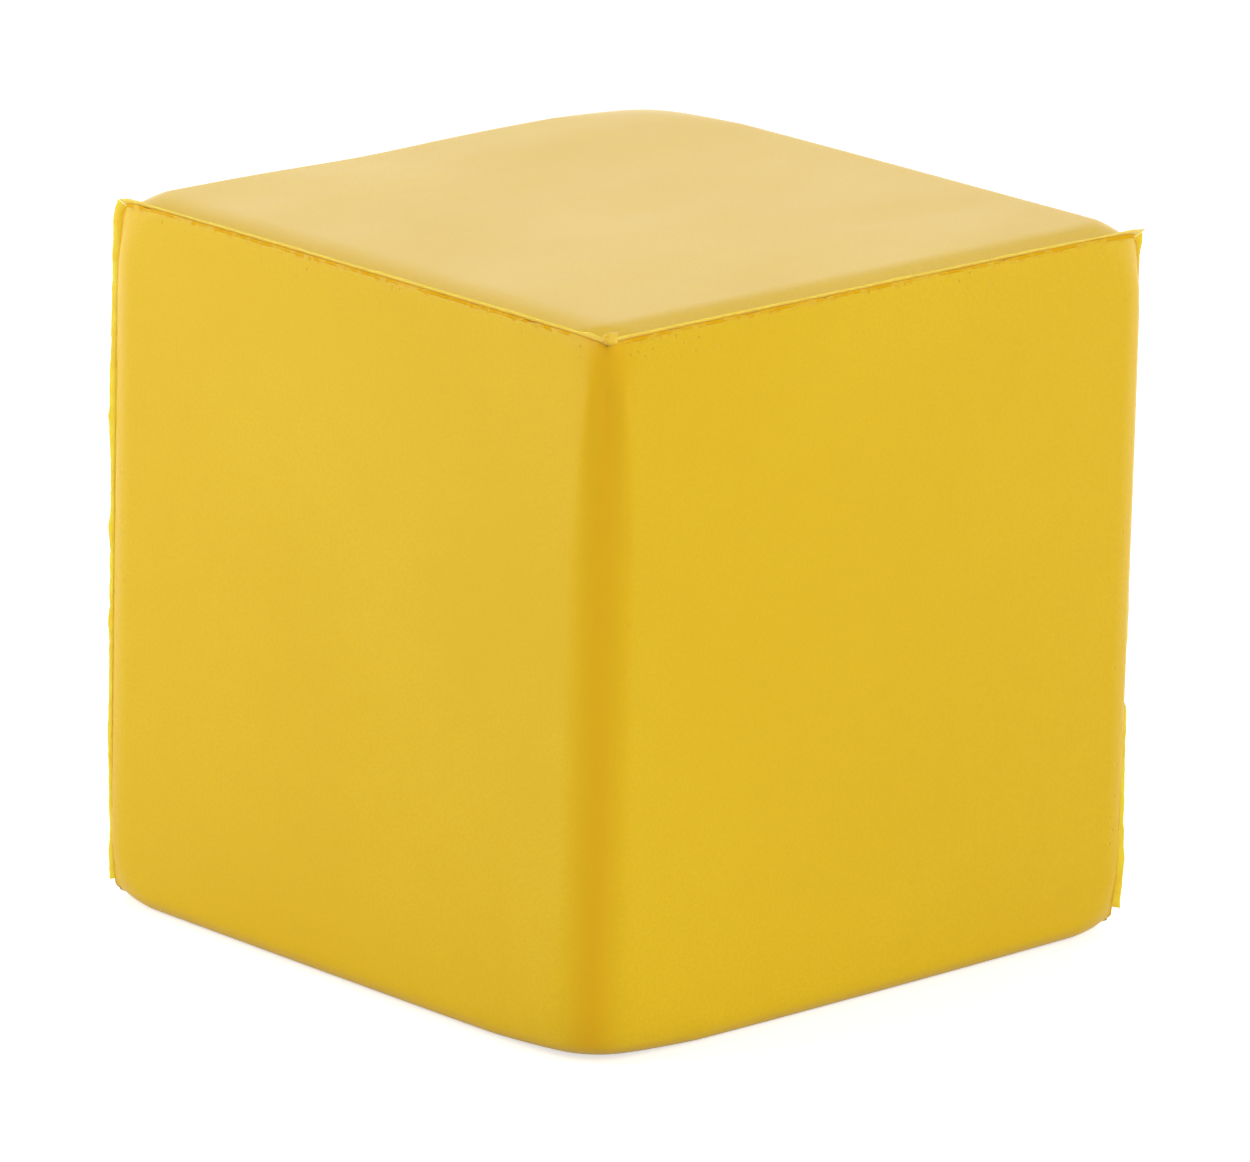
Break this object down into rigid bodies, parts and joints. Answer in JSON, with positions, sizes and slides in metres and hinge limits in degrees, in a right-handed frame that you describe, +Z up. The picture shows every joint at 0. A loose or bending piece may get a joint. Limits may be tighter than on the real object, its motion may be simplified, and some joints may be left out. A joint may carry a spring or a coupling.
{
  "type": "foam stress cube",
  "caption": "Soft foam cube with rounded edges, a smooth skin and thin flash along its mould line, squeezed in the hand to relieve stress.",
  "frame": {"origin": "middle of the base face, on the surface that the cube rests on", "axes": "+Z up out of the top face; -Y out of the face to the left of the front upright edge, +X out of the face to its right"},
  "size_m": [0.0594, 0.06, 0.06],
  "materials": {
    "skin": "matte",
    "foam": "matte",
    "flash": "matte"
  },
  "bodies": {
    "base": {"base_skin": "skin", "lower_foam": "foam", "front_skin": "skin", "back_skin": "skin", "left_flash": "flash", "right_flash": "flash", "base_left_flash": "flash", "base_right_flash": "flash"},
    "pressed_top": {"top_skin": "skin", "upper_foam": "foam", "top_left_flash": "flash", "top_right_flash": "flash", "vent_stub": "flash"}
  },
  "joints": [
    {"name": "squeeze", "type": "slide", "parent": "base", "child": "pressed_top", "axis": [0, 0, -1], "range_m": [0, 0.024], "stiffness_N_per_m": 3000, "deforming": ["lower_foam", "upper_foam", "front_skin", "back_skin", "left_flash", "right_flash"]}
  ]
}
